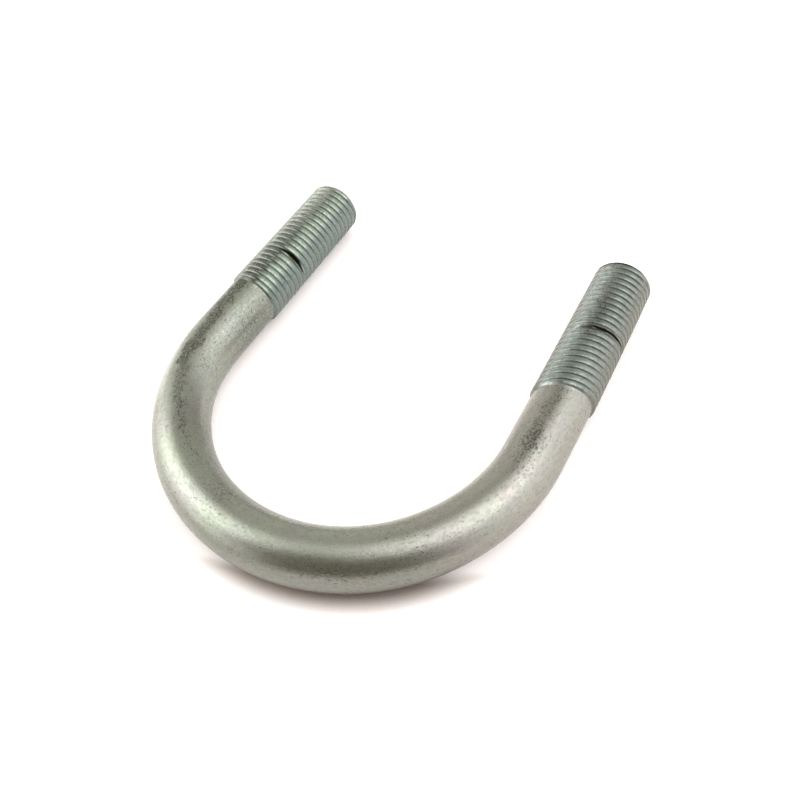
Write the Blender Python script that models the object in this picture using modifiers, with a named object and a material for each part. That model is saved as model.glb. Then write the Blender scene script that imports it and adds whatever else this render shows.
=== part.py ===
"""U-bolt: one round steel bar bent through 180 degrees, with a rolled thread on each leg.

The bolt lies flat. X runs across the legs, Y along them towards their threaded ends, and
Z is up. The origin is under the centre of the bounding box, on the surface the bolt lies on.
"""
import math

import bmesh
import bpy
from mathutils import Matrix

# Driving dimensions, in metres and radians.
THREAD_MAJOR_R = 0.00795        # M16 x 2, a little under the nominal 8 mm
THREAD_MINOR_R = 0.00677
THREAD_PITCH = 0.002
THREAD_LENGTH = 0.0465
SHANK_R = 0.00735               # the bar is as thick as the thread's pitch diameter
INSIDE_WIDTH = 0.078            # clear gap between the plain stretches of the legs
LEG_LENGTH = 0.064              # from the centre of the bend to the leg's end
END_CHAMFER = 0.0013            # deep enough to run out below the thread's root
NICK_WIDTH = 0.0013             # a shallow straight cut across each thread
NICK_DEPTH = 0.0016             # measured from the thread's crests
NICK_FROM_END = {"left": 0.0317, "right": 0.0264}
NICK_ANGLE = {"left": math.radians(42), "right": math.radians(32)}   # from +Z towards +X

# Sizes and places worked out from those.
BEND_R = INSIDE_WIDTH / 2 + SHANK_R
BEND_Y = (BEND_R + SHANK_R - LEG_LENGTH) / 2
LEG_END_Y = BEND_Y + LEG_LENGTH
THREAD_START_Y = LEG_END_Y - THREAD_LENGTH
AXIS_Z = THREAD_MAJOR_R
LEG_X = {"left": -BEND_R, "right": BEND_R}

# Thread form, run-out and mesh resolution.
FLANK_HALF_ANGLE = math.radians(30)
CREST_FLAT = THREAD_PITCH / 8
RUN_OUT = 0.0018                # length over which the crests rise out of the bar
OVERLAP = 0.0025                # how far a threaded end reaches into the bar
HIDDEN_R = SHANK_R - 0.0003     # radius of the thread that is buried in the bar
CREST_CLEARANCE = 0.0002
SPARE_TURNS = 2                 # full turns cut away beyond each end of the thread
SIDES = 16
ARC_STEPS = 30
WELD = 0.000001
SLIVER = 0.000005               # points closer than this, left by the Booleans, become one


def clear_scene():
    for obj in list(bpy.data.objects):
        bpy.data.objects.remove(obj, do_unlink=True)


def new_collection(name):
    collection = bpy.data.collections.new(name)
    bpy.context.scene.collection.children.link(collection)
    return collection


def zinc_plated_steel():
    material = bpy.data.materials.new("zinc_plated_steel")
    material.use_nodes = True
    shader = material.node_tree.nodes["Principled BSDF"]
    shader.inputs["Base Color"].default_value = (0.56, 0.58, 0.53, 1.0)
    shader.inputs["Metallic"].default_value = 0.9
    shader.inputs["Roughness"].default_value = 0.38
    return material


def evaluated_mesh(obj):
    """Mesh of a curve, or of an object with its modifiers, welded where it only touches."""
    depsgraph = bpy.context.evaluated_depsgraph_get()
    mesh = bpy.data.meshes.new_from_object(obj.evaluated_get(depsgraph))
    work = bmesh.new()
    work.from_mesh(mesh)
    bmesh.ops.remove_doubles(work, verts=work.verts, dist=WELD)
    work.to_mesh(mesh)
    work.free()
    return mesh


def hide_as_cutter(obj):
    obj.hide_render = True
    obj.display_type = "WIRE"


def u_path():
    """Points along the bar's axis, from one thread's start round the bend to the other's."""
    left_end = (-BEND_R, THREAD_START_Y, AXIS_Z)
    right_end = (BEND_R, THREAD_START_Y, AXIS_Z)
    bend = []
    for step in range(ARC_STEPS + 1):
        angle = math.pi + math.pi * step / ARC_STEPS
        bend.append((BEND_R * math.cos(angle), BEND_Y + BEND_R * math.sin(angle), AXIS_Z))
    return [left_end] + bend + [right_end]


def bent_bar(collection):
    """Plain round bar along the U, as a closed mesh that Booleans can use."""
    path = u_path()
    curve = bpy.data.curves.new("bar_path", "CURVE")
    curve.dimensions = "3D"
    curve.bevel_depth = SHANK_R
    curve.bevel_resolution = (SIDES - 4) // 2
    curve.use_fill_caps = True
    spline = curve.splines.new("POLY")
    spline.points.add(len(path) - 1)
    for point, place in zip(spline.points, path):
        point.co = (*place, 1.0)
    guide = bpy.data.objects.new("bar_path", curve)
    collection.objects.link(guide)
    bar = bpy.data.objects.new("u_bolt", evaluated_mesh(guide))
    bar.matrix_world = guide.matrix_world
    collection.objects.link(bar)
    bpy.data.objects.remove(guide, do_unlink=True)
    return bar


def profile_object(name, points, collection):
    """Open polyline of (radius, height) points in the XZ plane, listed top to bottom."""
    mesh = bpy.data.meshes.new(name)
    edges = [(index, index + 1) for index in range(len(points) - 1)]
    mesh.from_pydata([(radius, 0.0, height) for radius, height in points], edges, [])
    obj = bpy.data.objects.new(name, mesh)
    collection.objects.link(obj)
    return obj


def add_screw(obj, rise=0.0, turns=1):
    """Turn the profile about Z: a closed lathe shape, or a right-hand helix if it rises."""
    screw = obj.modifiers.new("turn", "SCREW")
    screw.steps = SIDES
    screw.render_steps = SIDES
    screw.screw_offset = rise
    screw.iterations = turns
    screw.use_merge_vertices = rise == 0.0
    screw.merge_threshold = WELD


def thread_form():
    """One pitch of the thread's outline: crest, flank, root and flank."""
    flank = (THREAD_MAJOR_R - THREAD_MINOR_R) * math.tan(FLANK_HALF_ANGLE)
    return [
        (THREAD_MAJOR_R, THREAD_PITCH),
        (THREAD_MAJOR_R, THREAD_PITCH - CREST_FLAT),
        (THREAD_MINOR_R, THREAD_PITCH - CREST_FLAT - flank),
        (THREAD_MINOR_R, flank),
        (THREAD_MAJOR_R, 0.0),
    ]


def endless_thread(name, collection):
    """Full-depth thread along +Z that runs past both ends of the leg, capped and closed."""
    turns = math.ceil((THREAD_LENGTH + OVERLAP) / THREAD_PITCH) + 2 * SPARE_TURNS
    outline = profile_object(name + "_form", thread_form(), collection)
    add_screw(outline, rise=THREAD_PITCH, turns=turns)
    mesh = evaluated_mesh(outline)
    bpy.data.objects.remove(outline, do_unlink=True)
    work = bmesh.new()
    work.from_mesh(mesh)
    rims = [edge for edge in work.edges if edge.is_boundary]
    caps = bmesh.ops.holes_fill(work, edges=rims, sides=0)["faces"]
    bmesh.ops.poke(work, faces=caps)
    bmesh.ops.recalc_face_normals(work, faces=work.faces)
    bmesh.ops.translate(work, verts=work.verts, vec=(0.0, 0.0, -OVERLAP - SPARE_TURNS * THREAD_PITCH))
    work.to_mesh(mesh)
    work.free()
    thread = bpy.data.objects.new(name, mesh)
    collection.objects.link(thread)
    hide_as_cutter(thread)
    return thread


def threaded_end(side, collection):
    """Threaded length of one leg: chamfered at its end, and thin where the bar holds it."""
    outer = THREAD_MAJOR_R + CREST_CLEARANCE
    end_r = THREAD_MAJOR_R - END_CHAMFER
    envelope = [
        (0.0, THREAD_LENGTH),
        (end_r, THREAD_LENGTH),
        (outer, THREAD_LENGTH - (outer - end_r)),
        (outer, RUN_OUT),
        (HIDDEN_R, 0.0),
        (HIDDEN_R, -OVERLAP),
        (0.0, -OVERLAP),
    ]
    end = profile_object("threaded_end_" + side, envelope, collection)
    add_screw(end)
    thread = endless_thread("thread_" + side, collection)
    cut_with(end, thread, "INTERSECT")
    nick = nick_cutter(side, collection)
    cut_with(end, nick, "DIFFERENCE")
    along_leg = Matrix.Translation((LEG_X[side], THREAD_START_Y, AXIS_Z)) @ Matrix.Rotation(-math.pi / 2, 4, "X")
    for obj in (end, thread, nick):
        obj.matrix_world = along_leg @ obj.matrix_world
    hide_as_cutter(end)
    return end


def nick_cutter(side, collection):
    """Thin slab across a thread whose inner face is a chord of its crests."""
    work = bmesh.new()
    bmesh.ops.create_cube(work, size=1.0)
    height = 2 * NICK_DEPTH
    bmesh.ops.scale(work, verts=work.verts, vec=(3 * THREAD_MAJOR_R, height, NICK_WIDTH))
    distance = THREAD_MAJOR_R - NICK_DEPTH + height / 2
    bmesh.ops.translate(work, verts=work.verts, vec=(0.0, -distance, 0.0))
    mesh = bpy.data.meshes.new("nick_" + side)
    work.to_mesh(mesh)
    work.free()
    nick = bpy.data.objects.new("nick_" + side, mesh)
    nick.matrix_world = (Matrix.Translation((0.0, 0.0, THREAD_LENGTH - NICK_FROM_END[side]))
                         @ Matrix.Rotation(NICK_ANGLE[side], 4, "Z"))
    collection.objects.link(nick)
    hide_as_cutter(nick)
    return nick


def cut_with(obj, other, operation):
    boolean = obj.modifiers.new(operation.lower(), "BOOLEAN")
    boolean.operation = operation
    boolean.solver = "EXACT"
    boolean.object = other


def main():
    clear_scene()
    parts = new_collection("u_bolt")
    cutters = new_collection("u_bolt_cutters")
    bolt = bent_bar(parts)
    for side in LEG_X:
        cut_with(bolt, threaded_end(side, cutters), "UNION")
    weld = bolt.modifiers.new("close_slivers", "WELD")
    weld.merge_threshold = SLIVER
    bolt.data.materials.append(zinc_plated_steel())
    bolt.data.shade_smooth()
    bolt.data.set_sharp_from_angle(angle=math.radians(35))


main()
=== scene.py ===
"""Looks of the U-bolt: a fine mesh of the bent, threaded bar, its zinc plating, and a plain studio.

Everything is in metres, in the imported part's frame: X across the legs, Y along them towards
their ends, Z up. Inside this script the bar is also thought of as straightened: s runs along
its axis from the left leg's end to the right leg's end, and theta turns round that axis from
+Z towards the inside of the U.
"""
import functools
import math

import bmesh
import bpy
import numpy as np
from mathutils import Matrix, Vector, noise


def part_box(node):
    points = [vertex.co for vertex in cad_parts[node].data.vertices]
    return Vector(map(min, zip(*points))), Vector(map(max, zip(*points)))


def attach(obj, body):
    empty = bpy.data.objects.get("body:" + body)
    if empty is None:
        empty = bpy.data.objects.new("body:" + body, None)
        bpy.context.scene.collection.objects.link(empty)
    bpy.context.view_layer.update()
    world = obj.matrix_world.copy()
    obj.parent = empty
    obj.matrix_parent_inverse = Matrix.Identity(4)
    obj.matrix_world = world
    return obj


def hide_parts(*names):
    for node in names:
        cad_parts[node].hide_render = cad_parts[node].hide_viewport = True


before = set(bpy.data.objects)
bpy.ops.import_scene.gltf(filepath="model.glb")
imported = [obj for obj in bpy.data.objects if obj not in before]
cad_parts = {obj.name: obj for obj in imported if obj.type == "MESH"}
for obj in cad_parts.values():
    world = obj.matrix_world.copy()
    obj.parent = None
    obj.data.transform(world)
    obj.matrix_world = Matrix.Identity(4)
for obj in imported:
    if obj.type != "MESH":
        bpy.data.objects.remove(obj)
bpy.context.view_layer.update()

# ---------------------------------------------------------------- sizes

# Sizes of the bar and its thread, in metres.
CREST_R = 0.00795
ROOT_R = 0.00742
BAR_R = 0.00735
PITCH = 0.002
THREAD_LENGTH = 0.0465
END_CHAMFER = 0.0013
CHAMFER_SLOPE = {"left": 1.0, "right": 2.0}
RIM_R = CREST_R - END_CHAMFER

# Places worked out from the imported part's box.
NODE_LOW, NODE_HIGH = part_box("u_bolt")
BEND_R = (NODE_HIGH.x - NODE_LOW.x) / 2 - CREST_R
AXIS_Z = (NODE_HIGH.z + NODE_LOW.z) / 2
LEG_END_Y = NODE_HIGH.y
BEND_Y = NODE_LOW.y + BEND_R + BAR_R
LEG = LEG_END_Y - BEND_Y
ARC = math.pi * BEND_R
BAR_LENGTH = 2 * LEG + ARC
FLOOR_CONTACT_Y = LEG_END_Y - THREAD_LENGTH

# Mesh resolution: points round the bar, distance between rings, welding distance, sharp edges.
AROUND = 80
RING_STEP = 0.0009
MERGE = 0.0000002
SHARP_ANGLE = math.radians(38)

# Thread outline over one pitch: share of a pitch from the crest's middle, share of the depth.
HALF_THREAD = (
    (0.14, 0.995),
    (0.25, 0.97),
    (0.30, 0.89),
    (0.34, 0.73),
    (0.375, 0.50),
    (0.415, 0.25),
    (0.455, 0.06),
)
OTHER_HALF = tuple((1 - share, depth) for share, depth in reversed(HALF_THREAD))
THREAD_ROWS = HALF_THREAD + ((0.5, 0.0),) + OTHER_HALF
SPARE_TURNS = 3
RUN_OUT = 0.0007
RUN_OUT_DEPTH = 0.0014

# The first groove's distance from the end at theta 0, and which way the helix turns in theta.
GROOVE_PHASE = {"left": 0.00104, "right": 0.00094}
HELIX_SIGN = {"left": 1, "right": -1}

# The rings lean where bending has dragged them: how far, from which distance off the leg's end.
LEAN = {"left": 0.0008, "right": 0.0013}
LEAN_START = 0.008
LEAN_END = 0.070

# The bend sags inwards at the right shoulder.
SHOULDER_SAG = 0.0006
SHOULDER_S = 0.192
SHOULDER_SPAN = 0.030

# Crescent nick across each thread: distance from the leg's end, middle and half span in theta.
NICKS = {
    "left": {
        "from_end": 0.0313,
        "middle": math.radians(44),
        "span": math.radians(50),
        "half_width": 0.00070,
        "skew": 0.0,
        "depth": 0.0015,
    },
    "right": {
        "from_end": 0.0257,
        "middle": math.radians(-28),
        "span": math.radians(78),
        "half_width": 0.00046,
        "skew": 0.0003,
        "depth": 0.0009,
    },
}
NICK_WALL = 0.00016

# End faces: share of the rim's radius, and how far the face is dished there.
END_ROWS = ((0.0, 0.00005), (0.25, 0.00005), (0.5, 0.00003), (0.75, 0.00002), (0.93, 0.0))

# Plain bar: ovality and thinning in the bend, ripples as noise scale and height, and the lengths
# over which these come in.
OVALITY = 0.00008
THINNING = 0.00006
RIPPLES = ((1.3, 0.00005), (4.0, 0.000018))
RIPPLE_STRETCH = 0.5
PLAIN_BLEND = 0.004
BEND_BEFORE = 0.01
BEND_AFTER = 0.02


# ---------------------------------------------------------------- shape


def smooth_step(value, low, high):
    t = np.clip((value - low) / (high - low), 0.0, 1.0)
    return t * t * (3 - 2 * t)


def centre_and_inward(s):
    """Axis points and inward unit vectors, in XY, for an array of distances along the bar."""
    angle = np.pi + np.clip((s - LEG) / BEND_R, 0.0, np.pi)
    past_left = np.maximum(LEG - s, 0.0)
    past_right = np.maximum(s - LEG - ARC, 0.0)
    x = BEND_R * np.cos(angle)
    y = BEND_Y + BEND_R * np.sin(angle) + past_left + past_right
    centre = np.stack([x, y], -1)
    inward = np.stack([-np.cos(angle), -np.sin(angle)], -1)
    sag = SHOULDER_SAG * np.exp(-((s - SHOULDER_S) / SHOULDER_SPAN) ** 2)
    return centre + sag[..., None] * inward, inward


def lean(s, theta):
    """Where a point of the straightened bar moves along it, as the rings lean near the bend."""
    shift = np.zeros_like(s)
    for side, from_end, sign in (("left", s, 1), ("right", BAR_LENGTH - s, -1)):
        grow = smooth_step(from_end, LEAN_START, THREAD_LENGTH)
        fade = 1 - smooth_step(from_end, THREAD_LENGTH, LEAN_END)
        shift += sign * LEAN[side] * (grow * fade)
    return s + shift * np.sin(theta)


def place(s, theta, radius):
    """World points for arrays of straightened coordinates."""
    centre, inward = centre_and_inward(lean(s, theta))
    flat = centre + (radius * np.sin(theta))[..., None] * inward
    return np.concatenate([flat, (AXIS_Z + radius * np.cos(theta))[..., None]], -1)


def nick_depth(side, from_end, theta):
    """How deep the crescent nick cuts, as a share from 0 to 1, along its own helix."""
    nick = NICKS[side]
    turn = (theta - nick["middle"] + np.pi) % (2 * np.pi) - np.pi
    climb = HELIX_SIGN[side] * (PITCH / (2 * np.pi) + nick["skew"])
    helix = from_end - nick["from_end"] + climb * turn
    lens = np.clip(1 - (turn / nick["span"]) ** 2, 0.0, 1.0)
    half = nick["half_width"] * lens ** 1.1
    outside = smooth_step(np.abs(helix), half - NICK_WALL, half + NICK_WALL)
    return lens ** 0.8 * (1 - outside) * (lens > 0)


def thread_radius(side, from_end, height, cut):
    """Radius of the threaded length: its profile, run-out, nick and end chamfer."""
    full = ROOT_R + (CREST_R - ROOT_R) * height[:, None]
    to_bar = THREAD_LENGTH - from_end
    rise = smooth_step(to_bar, 0.0, RUN_OUT)
    sink = smooth_step(to_bar, 0.0, RUN_OUT_DEPTH)
    radius = BAR_R + np.maximum(full - BAR_R, 0) * rise + np.minimum(full - BAR_R, 0) * sink
    nicked = np.minimum(radius, CREST_R - NICKS[side]["depth"] * cut)
    radius = np.where(cut > 0, nicked, radius)
    return np.minimum(radius, RIM_R + CHAMFER_SLOPE[side] * from_end)


def thread_grid(side):
    """Distance from the end, theta, radius and nick depth of an end face and its helical thread.

    Rows that overshoot either end are pressed flat against it, where welding removes them.
    """
    turns = range(-SPARE_TURNS, int(THREAD_LENGTH / PITCH) + SPARE_TURNS)
    rows = np.array([(turn + share, depth) for turn in turns for share, depth in THREAD_ROWS])
    base = (rows[:, 0] + 0.5) * PITCH + GROOVE_PHASE[side]
    turn = np.linspace(0.0, 2 * np.pi, AROUND + 1)
    from_end = base[:, None] - HELIX_SIGN[side] * PITCH * turn[None, :] / (2 * np.pi)
    from_end = np.clip(from_end, 0.0, THREAD_LENGTH)
    cut = nick_depth(side, from_end, np.broadcast_to(turn, from_end.shape))
    radius = thread_radius(side, from_end, rows[:, 1], cut)
    face = np.array(END_ROWS)
    face_radius = np.broadcast_to(RIM_R * face[:, :1], (len(face), AROUND + 1))
    face_from_end = np.broadcast_to(face[:, 1:], (len(face), AROUND + 1))
    from_end = np.concatenate([face_from_end, from_end])
    theta = np.broadcast_to(turn, from_end.shape)
    radius = np.concatenate([face_radius, radius])
    cut = np.concatenate([np.zeros_like(face_radius), cut])
    return from_end, theta, radius, cut


def plain_radius(s, theta):
    """Radius of the plain bar: round, with the slight flattening and ripples that bending leaves."""
    ends = smooth_step(np.minimum(s, BAR_LENGTH - s), THREAD_LENGTH, THREAD_LENGTH + PLAIN_BLEND)
    into_bend = smooth_step(s, LEG - BEND_BEFORE, LEG + BEND_AFTER)
    bend = into_bend * smooth_step(BAR_LENGTH - s, LEG - BEND_BEFORE, LEG + BEND_AFTER)
    oval = OVALITY * np.cos(2 * theta) * bend - THINNING * bend
    ripple = np.empty(s.shape)
    for index in np.ndindex(s.shape):
        a, t = s[index], theta[index]
        where = Vector((math.sin(t), math.cos(t), a / BAR_R * RIPPLE_STRETCH))
        ripple[index] = sum(noise.noise(where * scale) * height for scale, height in RIPPLES)
    return BAR_R + (oval + ripple) * ends


def bar_sections():
    """Grids of s, theta, radius and nick depth: the left thread, the right thread, the plain bar."""
    sections = []
    for side in ("left", "right"):
        from_end, theta, radius, cut = thread_grid(side)
        s = from_end if side == "left" else BAR_LENGTH - from_end
        sections.append((s, theta, radius, cut))
    rings = int((BAR_LENGTH - 2 * THREAD_LENGTH) / RING_STEP)
    plain_s = np.linspace(THREAD_LENGTH, BAR_LENGTH - THREAD_LENGTH, rings)
    turn = np.linspace(0.0, 2 * np.pi, AROUND + 1)
    s, theta = np.meshgrid(plain_s, turn, indexing="ij")
    sections.append((s, theta, plain_radius(s, theta), np.zeros_like(s)))
    return sections


def build_bar():
    """The whole bar as one closed mesh, with its straightened coordinates as attributes."""
    points, faces, straight, cuts = [], [], [], []
    for s, theta, radius, cut in bar_sections():
        start = sum(len(block) for block in points)
        rows, columns = s.shape
        points.append(place(s, theta, radius).reshape(-1, 3))
        section = np.stack([radius * np.sin(theta), radius * np.cos(theta), s], -1)
        straight.append(section.reshape(-1, 3))
        cuts.append(cut.reshape(-1))
        corner = start + np.arange((rows - 1) * columns).reshape(rows - 1, columns)[:, :-1]
        corner = corner.reshape(-1)
        faces.append(np.stack([corner, corner + 1, corner + columns + 1, corner + columns], -1))
    mesh = bpy.data.meshes.new("bent_bar")
    mesh.from_pydata(np.concatenate(points).tolist(), [], np.concatenate(faces).tolist())
    add_attribute(mesh, "straight", "FLOAT_VECTOR", np.concatenate(straight))
    add_attribute(mesh, "nick", "FLOAT", np.concatenate(cuts))
    close_mesh(mesh)
    return mesh


def add_attribute(mesh, name, kind, values):
    layer = mesh.attributes.new(name, kind, "POINT")
    field = "vector" if kind == "FLOAT_VECTOR" else "value"
    layer.data.foreach_set(field, np.asarray(values, np.float32).ravel())


def close_mesh(mesh):
    """Weld the seams and point every face out."""
    work = bmesh.new()
    work.from_mesh(mesh)
    bmesh.ops.remove_doubles(work, verts=work.verts, dist=MERGE)
    bmesh.ops.dissolve_degenerate(work, edges=work.edges, dist=MERGE)
    bmesh.ops.recalc_face_normals(work, faces=work.faces)
    work.to_mesh(mesh)
    work.free()
    mesh.shade_smooth()
    mesh.set_sharp_from_angle(angle=SHARP_ANGLE)


# ---------------------------------------------------------------- node helpers


class Nodes:
    """Short calls for building a node tree."""

    def __init__(self, tree):
        self.tree = tree

    def add(self, kind, inputs=None, **settings):
        node = self.tree.nodes.new(kind)
        for name, value in settings.items():
            setattr(node, name, value)
        for name, value in (inputs or {}).items():
            self.feed(node.inputs[name], value)
        return node

    def feed(self, socket, value):
        if isinstance(value, bpy.types.NodeSocket):
            self.tree.links.new(value, socket)
        else:
            socket.default_value = value

    def math(self, operation, a, b=0.0):
        node = self.add("ShaderNodeMath", operation=operation)
        self.feed(node.inputs[0], a)
        self.feed(node.inputs[1], b)
        return node.outputs[0]

    def plus(self, *values):
        return functools.reduce(functools.partial(self.math, "ADD"), values)

    def minus(self, a, b):
        return self.math("SUBTRACT", a, b)

    def times(self, *values):
        return functools.reduce(functools.partial(self.math, "MULTIPLY"), values)

    def most(self, *values):
        return functools.reduce(functools.partial(self.math, "MAXIMUM"), values)

    def noise(self, where, scale, detail=3.0, roughness=0.55):
        node = self.add("ShaderNodeTexNoise",
                        {"Vector": where, "Scale": scale, "Detail": detail, "Roughness": roughness})
        return node.outputs["Fac"]

    def ramp(self, value, low, high, to_low=0.0, to_high=1.0):
        node = self.add("ShaderNodeMapRange", {"Value": value, "From Min": low, "From Max": high,
                                               "To Min": to_low, "To Max": to_high})
        node.interpolation_type = "SMOOTHSTEP"
        return node.outputs["Result"]

    def mix(self, share, a, b):
        node = self.add("ShaderNodeMix", data_type="RGBA")
        self.feed(node.inputs["Factor"], share)
        self.feed(node.inputs["A"], a)
        self.feed(node.inputs["B"], b)
        return node.outputs["Result"]

    def stretch(self, vector, scale):
        node = self.add("ShaderNodeVectorMath", {0: vector, 1: scale}, operation="MULTIPLY")
        return node.outputs["Vector"]


# ---------------------------------------------------------------- zinc plating

ZINC_GREEN = (0.281, 0.308, 0.254, 1.0)
ZINC_GREY = (0.277, 0.287, 0.259, 1.0)
ZINC_WARM = (0.294, 0.274, 0.254, 1.0)
THREAD_GREEN = (0.262, 0.314, 0.262, 1.0)
THREAD_BLUE = (0.252, 0.292, 0.270, 1.0)
# THREAD_SIDE_SHADE holds painted shade: darker copies of the thread zinc for the threads' sides.
THREAD_SIDE_SHADE = {"left": (0.158, 0.200, 0.186, 1.0), "right": (0.200, 0.211, 0.190, 1.0)}
# THREAD_PAINTED_HIGHLIGHT is a painted highlight on the top of the left thread near its end.
THREAD_PAINTED_HIGHLIGHT = (0.62, 0.66, 0.59, 1.0)
# GROOVE_PAINTED_LIGHT is painted light laid into the groove floors to lift their shade.
GROOVE_PAINTED_LIGHT = (0.43, 0.49, 0.46, 1.0)
# GRAIN_AND_PAINTED_SHADE darkens the coarse grain, and is also painted shade beside the left thread, in
# and under the bend and on the threads' outer sides.
GRAIN_AND_PAINTED_SHADE = (0.12, 0.125, 0.105, 1.0)
DARK_FLECK = (0.045, 0.045, 0.036, 1.0)
# GLINT is painted light, for the glints and the painted highlight.
GLINT = (0.62, 0.63, 0.60, 1.0)
STREAK_SHADE = (0.105, 0.110, 0.090, 1.0)
BAND_SHADE = (0.078, 0.085, 0.074, 1.0)
# Dark brown laid into the nicks.
NICK_DARKENING = (0.075, 0.067, 0.046, 1.0)

# Noise scales, per metre, and stretches: a smaller last number draws a pattern out along the bar.
CLOUD_SCALE = 95.0
PATCH_SCALE = 130.0
WARMTH_SCALE = 160.0
WOBBLE_SCALE = 420.0
COARSE_SCALE = 1300.0
GRAIN_SCALE = 2600.0
DRAWN_STRETCH = (1.0, 1.0, 0.6)
PATCH_STRETCH = (1.0, 1.0, 0.35)
LINE_STRETCH = (1.0, 1.0, 0.05)
BUMP_DISTANCE = 0.00004

# Each pair is a mask's edge, in metres: where the mask is nil, then where it is full. These are
# of the distance from the leg's end, and GROOVE_EDGE is of the radius.
THREAD_EDGE = (THREAD_LENGTH + 0.0003, THREAD_LENGTH - 0.0003)
GROOVE_FADE = (THREAD_LENGTH - 0.0003, THREAD_LENGTH - 0.0012)
FACE_EDGE = (0.00013, 0.00006)
RIM_EDGE = (0.0015, 0.0008)
GROOVE_EDGE = (ROOT_R + 0.0004, ROOT_R + 0.0001)

# The same along s, for a mark that comes in or goes out.
RIGHT_HALF = (0.13, 0.15)
STREAK_IN = (0.008, 0.045)
FRONT_IN = (0.128, 0.145)
FRONT_OUT = (0.190, 0.165)
FLECKS_NEAR_LEFT = (0.085, 0.055)
FLECKS_NEAR_RIGHT = (0.195, 0.210)
# Where the painted highlight comes in and goes out along s.
PAINTED_HIGHLIGHT_IN = (0.068, 0.078)
PAINTED_HIGHLIGHT_OUT = (0.092, 0.084)
# INNER_* and UNDER_* bound painted shade inside the bend and low on its outside.
INNER_IN = (0.085, 0.105)
INNER_OUT = (0.152, 0.136)
UNDER_IN = (0.095, 0.135)
UNDER_OUT = (0.200, 0.165)
# Where the extra painted light in the left half's grooves ends.
GROOVE_LIGHT_OUT = (0.13, 0.12)

# The top streak's middle turns by an angle between two distances s. The front streak and the
# thread's dark band keep to one theta.
STREAK_TURNS = (
    (0.040, 0.047, -0.20),
    (0.047, 0.070, 0.20),
    (0.075, 0.105, 0.28),
    (0.130, 0.170, -0.22),
)
FRONT_MIDDLE = -0.80
BAND_MIDDLE = -0.04


class Surface:
    """A point's place on the straightened bar, and the noises that its finish is made of."""

    def __init__(self, n):
        straight = n.add("ShaderNodeAttribute", attribute_name="straight").outputs["Vector"]
        parts = n.add("ShaderNodeSeparateXYZ", {"Vector": straight}).outputs
        across, up = parts["X"], parts["Y"]
        self.along = parts["Z"]
        self.nick = n.add("ShaderNodeAttribute", attribute_name="nick").outputs["Fac"]
        self.radius = n.math("SQRT", n.plus(n.times(across, across), n.times(up, up)))
        self.theta = n.math("ARCTAN2", across, up)
        self.around = n.math("ABSOLUTE", self.theta)
        self.from_end = n.math("MINIMUM", self.along, n.minus(BAR_LENGTH, self.along))
        self.thread = n.ramp(self.from_end, *THREAD_EDGE)
        self.plain = n.minus(1.0, self.thread)
        self.face = n.ramp(self.from_end, *FACE_EDGE)
        self.off_face = n.minus(1.0, self.face)
        self.right_half = n.ramp(self.along, *RIGHT_HALF)
        drawn = n.stretch(straight, DRAWN_STRETCH)
        self.patches = n.ramp(n.noise(n.stretch(straight, PATCH_STRETCH), PATCH_SCALE), 0.42, 0.66)
        self.clouds = n.noise(straight, CLOUD_SCALE, 4.0)
        self.warmth = n.noise(straight, WARMTH_SCALE, 2.0)
        self.grain = n.noise(drawn, GRAIN_SCALE, 5.0, 0.75)
        self.coarse = n.noise(drawn, COARSE_SCALE, 4.0, 0.7)
        self.lines = n.noise(n.stretch(straight, LINE_STRETCH), GRAIN_SCALE, 3.0, 0.6)
        self.wobble = n.times(n.minus(n.noise(drawn, WOBBLE_SCALE), 0.5), 0.75)


def plain_colour(n, bar):
    """Cloudy green and grey zinc, warmer in patches and towards the right leg."""
    warm = n.plus(n.ramp(bar.warmth, 0.50, 0.75, 0.0, 0.5), n.ramp(bar.along, 0.13, 0.20, 0.0, 0.5))
    cloudy = n.mix(n.ramp(bar.clouds, 0.35, 0.65), ZINC_GREEN, ZINC_GREY)
    return n.mix(warm, cloudy, ZINC_WARM)


def thread_colour(n, bar):
    """Zinc of the threads, with a painted highlight that makes the left end paler, a dark band along the
    top, and painted shade on the sides.
    """
    # Painted highlight near the left end.
    thread_highlight = n.times(n.ramp(bar.along, 0.040, 0.004), n.ramp(bar.theta, 0.40, 0.10),
                   n.ramp(bar.theta, -0.60, -0.30, 0.0, 0.50))
    top = n.mix(thread_highlight, n.mix(bar.right_half, THREAD_GREEN, THREAD_BLUE), THREAD_PAINTED_HIGHLIGHT)
    off_band = n.math("ABSOLUTE", n.plus(bar.theta, -BAND_MIDDLE, bar.wobble))
    left_band = n.times(n.ramp(bar.along, 0.004, 0.042, 0.45, 1.0), n.minus(1.0, bar.right_half))
    right_band = n.times(bar.right_half, n.ramp(bar.patches, 0.2, 0.8, 0.20, 0.42))
    band = n.times(n.ramp(off_band, 0.55, 0.15), n.plus(left_band, right_band))
    # Painted shade on the sides of both threads.
    sides = n.mix(bar.right_half, THREAD_SIDE_SHADE["left"], THREAD_SIDE_SHADE["right"])
    return n.mix(n.ramp(bar.around, 0.75, 1.0), n.mix(band, top, BAND_SHADE), sides)


def top_streak(n, bar):
    """Share of the dark streak along the top of the bar, and a point's angle from its middle."""
    turns = (n.ramp(bar.along, start, end, 0.0, turn) for start, end, turn in STREAK_TURNS)
    off = n.math("ABSOLUTE", n.plus(n.minus(bar.theta, n.plus(*turns)), bar.wobble))
    left = n.ramp(bar.along, 0.112, 0.060, 0.30, 1.0)
    right = n.ramp(bar.along, 0.195, 0.215, 0.0, 0.7)
    amount = n.times(n.most(left, right), n.ramp(bar.along, 0.150, 0.130, 0.7, 1.0))
    streak = n.times(n.ramp(off, 0.42, 0.06), amount, n.ramp(bar.patches, 0.0, 1.0, 0.65, 1.0),
                     n.ramp(bar.along, *STREAK_IN))
    return streak, off


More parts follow.
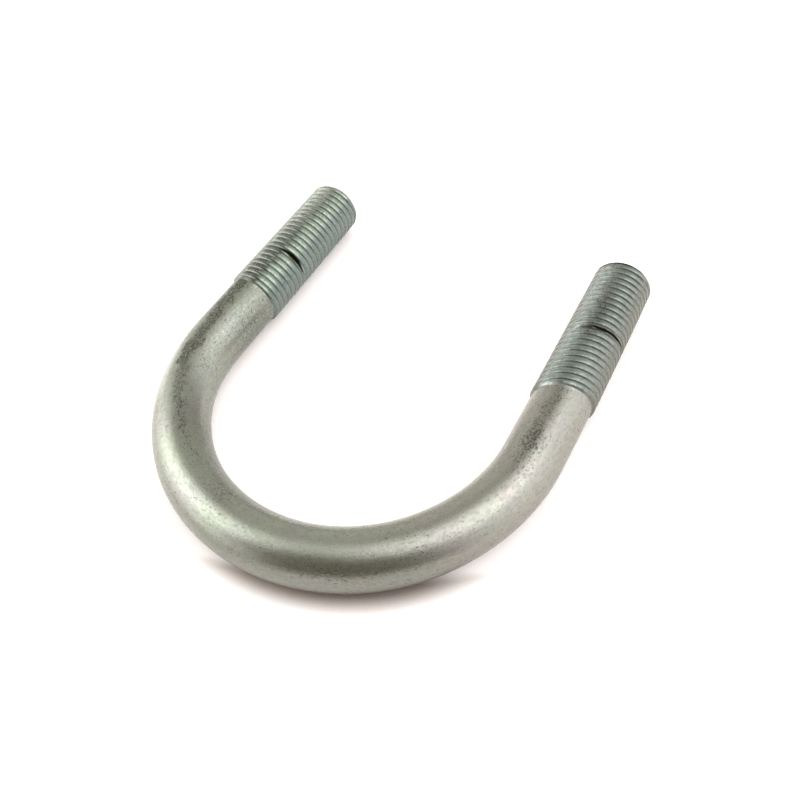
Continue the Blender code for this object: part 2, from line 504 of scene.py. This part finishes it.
def front_streak(n, bar):
    """Share of the shorter streak low on the outside of the bend."""
    off = n.math("ABSOLUTE", n.plus(bar.theta, -FRONT_MIDDLE, bar.wobble))
    return n.times(n.ramp(off, 0.42, 0.10), n.ramp(bar.along, *FRONT_IN), n.ramp(bar.along, *FRONT_OUT))


def painted_shade_share(n, bar):
    """Share of painted shade: beside the left thread, inside and low outside the bend, and on the outer
    side of the threads.
    """
    sides = n.plus(n.ramp(bar.around, 0.28, 0.55), n.ramp(bar.theta, -0.35, -0.55, 0.0, 0.6))
    beside = n.times(n.ramp(bar.along, 0.076, 0.056, 0.0, 0.42), bar.plain, sides)
    inner = n.times(n.ramp(bar.theta, 0.70, 0.95, 0.0, 0.60), n.ramp(bar.along, *INNER_IN),
                    n.ramp(bar.along, *INNER_OUT))
    shaded_thread = n.times(n.ramp(bar.along, 0.002, 0.045, 0.08, 0.42), n.ramp(bar.theta, -0.25, -0.60),
                   bar.thread)
    under = n.times(n.ramp(bar.theta, -0.72, -1.02, 0.0, 0.50), n.ramp(bar.along, *UNDER_IN),
                    n.ramp(bar.along, *UNDER_OUT))
    return n.most(beside, inner, shaded_thread, under)


def fleck_share(n, bar, streak, off_streak):
    """Share of dark flecks: a few everywhere, more in the streaks and beside the threads."""
    grime = n.most(n.ramp(streak, 0.0, 0.6), n.times(front_streak(n, bar), 0.42))
    grime = n.times(grime, n.ramp(bar.thread, 0.0, 1.0, 0.115, 0.07))
    near_left = n.times(n.ramp(bar.along, *FLECKS_NEAR_LEFT), bar.plain)
    near_right = n.times(n.ramp(bar.along, *FLECKS_NEAR_RIGHT), n.ramp(off_streak, 0.60, 0.15),
                         bar.plain)
    beside = n.times(n.most(near_left, near_right), 0.035)
    density = n.plus(grime, n.times(bar.patches, 0.045), beside)
    return n.ramp(n.plus(bar.grain, density), 0.60, 0.69, 0.0, 0.85)


def add_glints(n, bar, colour):
    """Painted glints as bright specks, and a painted highlight as a pale patch on the outside where the
    left leg meets the bend.
    """
    glints = n.times(n.ramp(bar.grain, 0.40, 0.33, 0.0, 0.7), n.ramp(bar.along, 0.080, 0.055, 0.25, 1.0),
                     n.most(n.ramp(bar.theta, -0.10, 0.25), bar.thread))
    painted_highlight = n.times(n.ramp(bar.theta, -0.40, -0.60, 0.0, 0.35), n.ramp(bar.along, *PAINTED_HIGHLIGHT_IN),
                   n.ramp(bar.along, *PAINTED_HIGHLIGHT_OUT))
    return n.mix(painted_highlight, n.mix(glints, colour, GLINT), GLINT)


def add_thread_marks(n, bar, colour):
    """Painted light that brightens the groove floors against their shade, dark brown in the nicks, and a
    dark rim round each end.
    """
    sunk = n.times(n.ramp(bar.radius, *GROOVE_EDGE), n.ramp(bar.from_end, *GROOVE_FADE), bar.off_face)
    groove_light_left = n.times(n.ramp(bar.theta, 0.30, 0.15, 0.0, 0.62), n.ramp(bar.along, *GROOVE_LIGHT_OUT))
    groove_light_share = n.most(n.ramp(bar.around, 0.70, 1.0, 0.30, 0.60), groove_light_left)
    rim = n.times(n.ramp(bar.from_end, *RIM_EDGE, 0.0, 0.75), bar.off_face,
                  n.most(n.ramp(bar.theta, 0.2, 0.5), bar.right_half))
    # Painted light in the groove floors: more on the sides, and on the top and outside of the left
    # thread.
    colour = n.mix(n.times(sunk, groove_light_share), colour, GROOVE_PAINTED_LIGHT)
    colour = n.mix(n.ramp(bar.nick, 0.12, 0.45), colour, NICK_DARKENING)
    return n.mix(rim, colour, DARK_FLECK)


def zinc_colour(n, bar, streak, flecks):
    """The plating's colour, from its plain tint up to the smallest marks."""
    colour = n.mix(bar.thread, plain_colour(n, bar), thread_colour(n, bar))
    colour = n.mix(n.times(streak, 0.58), colour, STREAK_SHADE)
    # Painted shade beside the left thread, in and under the bend and on the threads' outer sides.
    colour = n.mix(painted_shade_share(n, bar), colour, GRAIN_AND_PAINTED_SHADE)
    colour = n.mix(bar.face, colour, n.mix(bar.clouds, THREAD_GREEN, THREAD_BLUE))
    grain = n.ramp(bar.coarse, 0.46, 0.62, 0.0, n.ramp(bar.thread, 0.0, 1.0, 0.22, 0.45))
    colour = n.mix(grain, colour, GRAIN_AND_PAINTED_SHADE)
    colour = n.mix(flecks, colour, DARK_FLECK)
    return add_thread_marks(n, bar, add_glints(n, bar, colour))


def zinc_plating():
    """Bright zinc on drawn steel: cloudy tint, dark grimy streaks, flecks, fine grain, drawing lines,
    with painted shade, painted glints and highlights, and painted light in the grooves.
    """
    material = bpy.data.materials.new("zinc_plating")
    material.use_nodes = True
    shader = material.node_tree.nodes["Principled BSDF"]
    n = Nodes(material.node_tree)
    bar = Surface(n)
    streak, off_streak = top_streak(n, bar)
    flecks = fleck_share(n, bar, streak, off_streak)
    rough = n.plus(n.ramp(bar.coarse, 0.3, 0.7, 0.25, 0.36), n.times(flecks, 0.25),
                   n.times(bar.thread, 0.05))
    relief = n.plus(n.times(bar.grain, 0.7), n.times(bar.coarse, 0.5), n.times(bar.lines, 0.25))
    bump = n.add("ShaderNodeBump", {"Height": relief, "Strength": 1.0, "Distance": BUMP_DISTANCE})
    n.feed(shader.inputs["Base Color"], zinc_colour(n, bar, streak, flecks))
    n.feed(shader.inputs["Roughness"], rough)
    n.feed(shader.inputs["Normal"], bump.outputs["Normal"])
    shader.inputs["Metallic"].default_value = 1.0
    return material


# ---------------------------------------------------------------- floor

FLOOR_SIZE = 4.0
FLOOR_WHITE = (0.95, 0.908, 0.90, 1.0)
FLOOR_SHADE = (0.30, 0.25, 0.22, 1.0)
FLOOR_GLOW = (1.0, 0.955, 0.94, 1.0)
FLOOR_GLOW_STRENGTH = 0.18
FLOOR_TILT = math.atan2(CREST_R - BAR_R, FLOOR_CONTACT_Y - (BEND_Y - BEND_R))

# The contact shade's reach, the way it faces, and between which distances it comes in.
SHADE_REACH = 0.009
SHADE_FACING = math.radians(112)
SHADE_FULL = BEND_R + 0.0015
SHADE_NIL = BEND_R - 0.004


def floor_material():
    """White paper with a painted contact shadow: it darkens to a warm grey where the front of the bend
    rests on it, and glows faintly where it is not shaded.
    """
    material = bpy.data.materials.new("pale_floor")
    material.use_nodes = True
    n = Nodes(material.node_tree)
    shader = material.node_tree.nodes["Principled BSDF"]
    near = n.add("ShaderNodeAmbientOcclusion", {"Distance": SHADE_REACH}, samples=8).outputs["AO"]
    point = n.add("ShaderNodeTexCoord").outputs["Object"]
    spot = n.add("ShaderNodeSeparateXYZ", {"Vector": point}).outputs
    ahead = n.minus(BEND_Y - FLOOR_CONTACT_Y, spot["Y"])
    forward = n.plus(n.times(spot["X"], -math.cos(SHADE_FACING)), n.times(ahead, math.sin(SHADE_FACING)))
    # Painted contact shadow, kept to the floor in front of the bend.
    elsewhere = n.ramp(forward, SHADE_FULL, SHADE_NIL, 0.0, 0.95)
    open_air = n.most(n.ramp(near, 0.35, 0.85), elsewhere)
    n.feed(shader.inputs["Base Color"], n.mix(open_air, FLOOR_SHADE, FLOOR_WHITE))
    n.feed(shader.inputs["Emission Strength"], n.times(open_air, FLOOR_GLOW_STRENGTH))
    shader.inputs["Emission Color"].default_value = FLOOR_GLOW
    shader.inputs["Roughness"].default_value = 0.9
    shader.inputs["Specular IOR Level"].default_value = 0.1
    return material


def build_floor():
    """A wide plane, tilted a little so that the threads' crests and the bend both rest on it."""
    bpy.ops.mesh.primitive_plane_add(size=FLOOR_SIZE)
    floor = bpy.context.object
    floor.name = "studio_floor"
    tilt = Matrix.Rotation(-FLOOR_TILT, 4, "X")
    floor.matrix_world = Matrix.Translation((0, FLOOR_CONTACT_Y, NODE_LOW.z)) @ tilt
    floor.data.materials.append(floor_material())


# ---------------------------------------------------------------- light and camera

# Soft lights at infinity: azimuth from +Y towards +X, elevation, inner and outer half width,
# colour and strength.
LIGHTS = {
    "left_softbox": (-107, 44, 5, 30, (1.00, 1.02, 1.00), 3.10),
    "left_wall": (-117, 0, 5, 52, (1.03, 0.98, 1.02), 2.15),
    "right_softbox": (68, 70, 5, 40, (1.00, 1.01, 1.01), 2.50),
    "right_wall": (69, 20, 6, 60, (1.00, 0.99, 1.04), 1.84),
    "back_wall": (-53, 8, 20, 74, (1.01, 1.02, 0.97), 0.82),
}
AMBIENT = (0.285, 0.248, 0.192)

CAMERA_PLACE = Vector((0.07859, BEND_Y - 0.10034, AXIS_Z + 0.15331))
CAMERA_AIM = Vector((-0.35115431, 0.52097412, -0.77799525))
CAMERA_RIGHT = Vector((0.87907655, 0.46950856, -0.08237802))
CAMERA_LENS = 35.27
CAMERA_CLIP = 0.005


def light_colour(n, direction, light):
    """What one light adds to the world's colour in a direction."""
    azimuth, elevation, inner, outer, colour, strength = light
    a, e = math.radians(azimuth), math.radians(elevation)
    towards = (math.sin(a) * math.cos(e), math.cos(a) * math.cos(e), math.sin(e))
    facing = n.add("ShaderNodeVectorMath", {0: direction, 1: towards}, operation="DOT_PRODUCT")
    edge, core = math.cos(math.radians(outer)), math.cos(math.radians(inner))
    share = n.ramp(facing.outputs["Value"], edge, core, 0.0, strength)
    grey = n.add("ShaderNodeCombineXYZ", {"X": share, "Y": share, "Z": share})
    return n.stretch(grey.outputs["Vector"], colour)


def build_world():
    world = bpy.data.worlds.new("studio")
    bpy.context.scene.world = world
    world.use_nodes = True
    n = Nodes(world.node_tree)
    direction = n.add("ShaderNodeTexCoord").outputs["Generated"]
    total = AMBIENT
    for light in LIGHTS.values():
        lit = light_colour(n, direction, light)
        total = n.add("ShaderNodeVectorMath", {0: total, 1: lit}, operation="ADD").outputs["Vector"]
    n.feed(world.node_tree.nodes["Background"].inputs["Color"], total)


def build_camera():
    data = bpy.data.cameras.new("camera")
    data.lens = CAMERA_LENS
    data.clip_start = CAMERA_CLIP
    camera = bpy.data.objects.new("camera", data)
    bpy.context.scene.collection.objects.link(camera)
    back = -CAMERA_AIM.normalized()
    right = (CAMERA_RIGHT - CAMERA_RIGHT.dot(back) * back).normalized()
    turn = Matrix((right, back.cross(right), back)).transposed().to_4x4()
    camera.matrix_world = Matrix.Translation(CAMERA_PLACE) @ turn
    bpy.context.scene.camera = camera


def main():
    bar = bpy.data.objects.new("bent_bar", build_bar())
    bpy.context.scene.collection.objects.link(bar)
    bar.data.materials.append(zinc_plating())
    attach(bar, "root")
    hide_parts("u_bolt")
    build_world()
    build_floor()
    build_camera()
    bpy.context.scene.view_settings.view_transform = "Standard"


main()
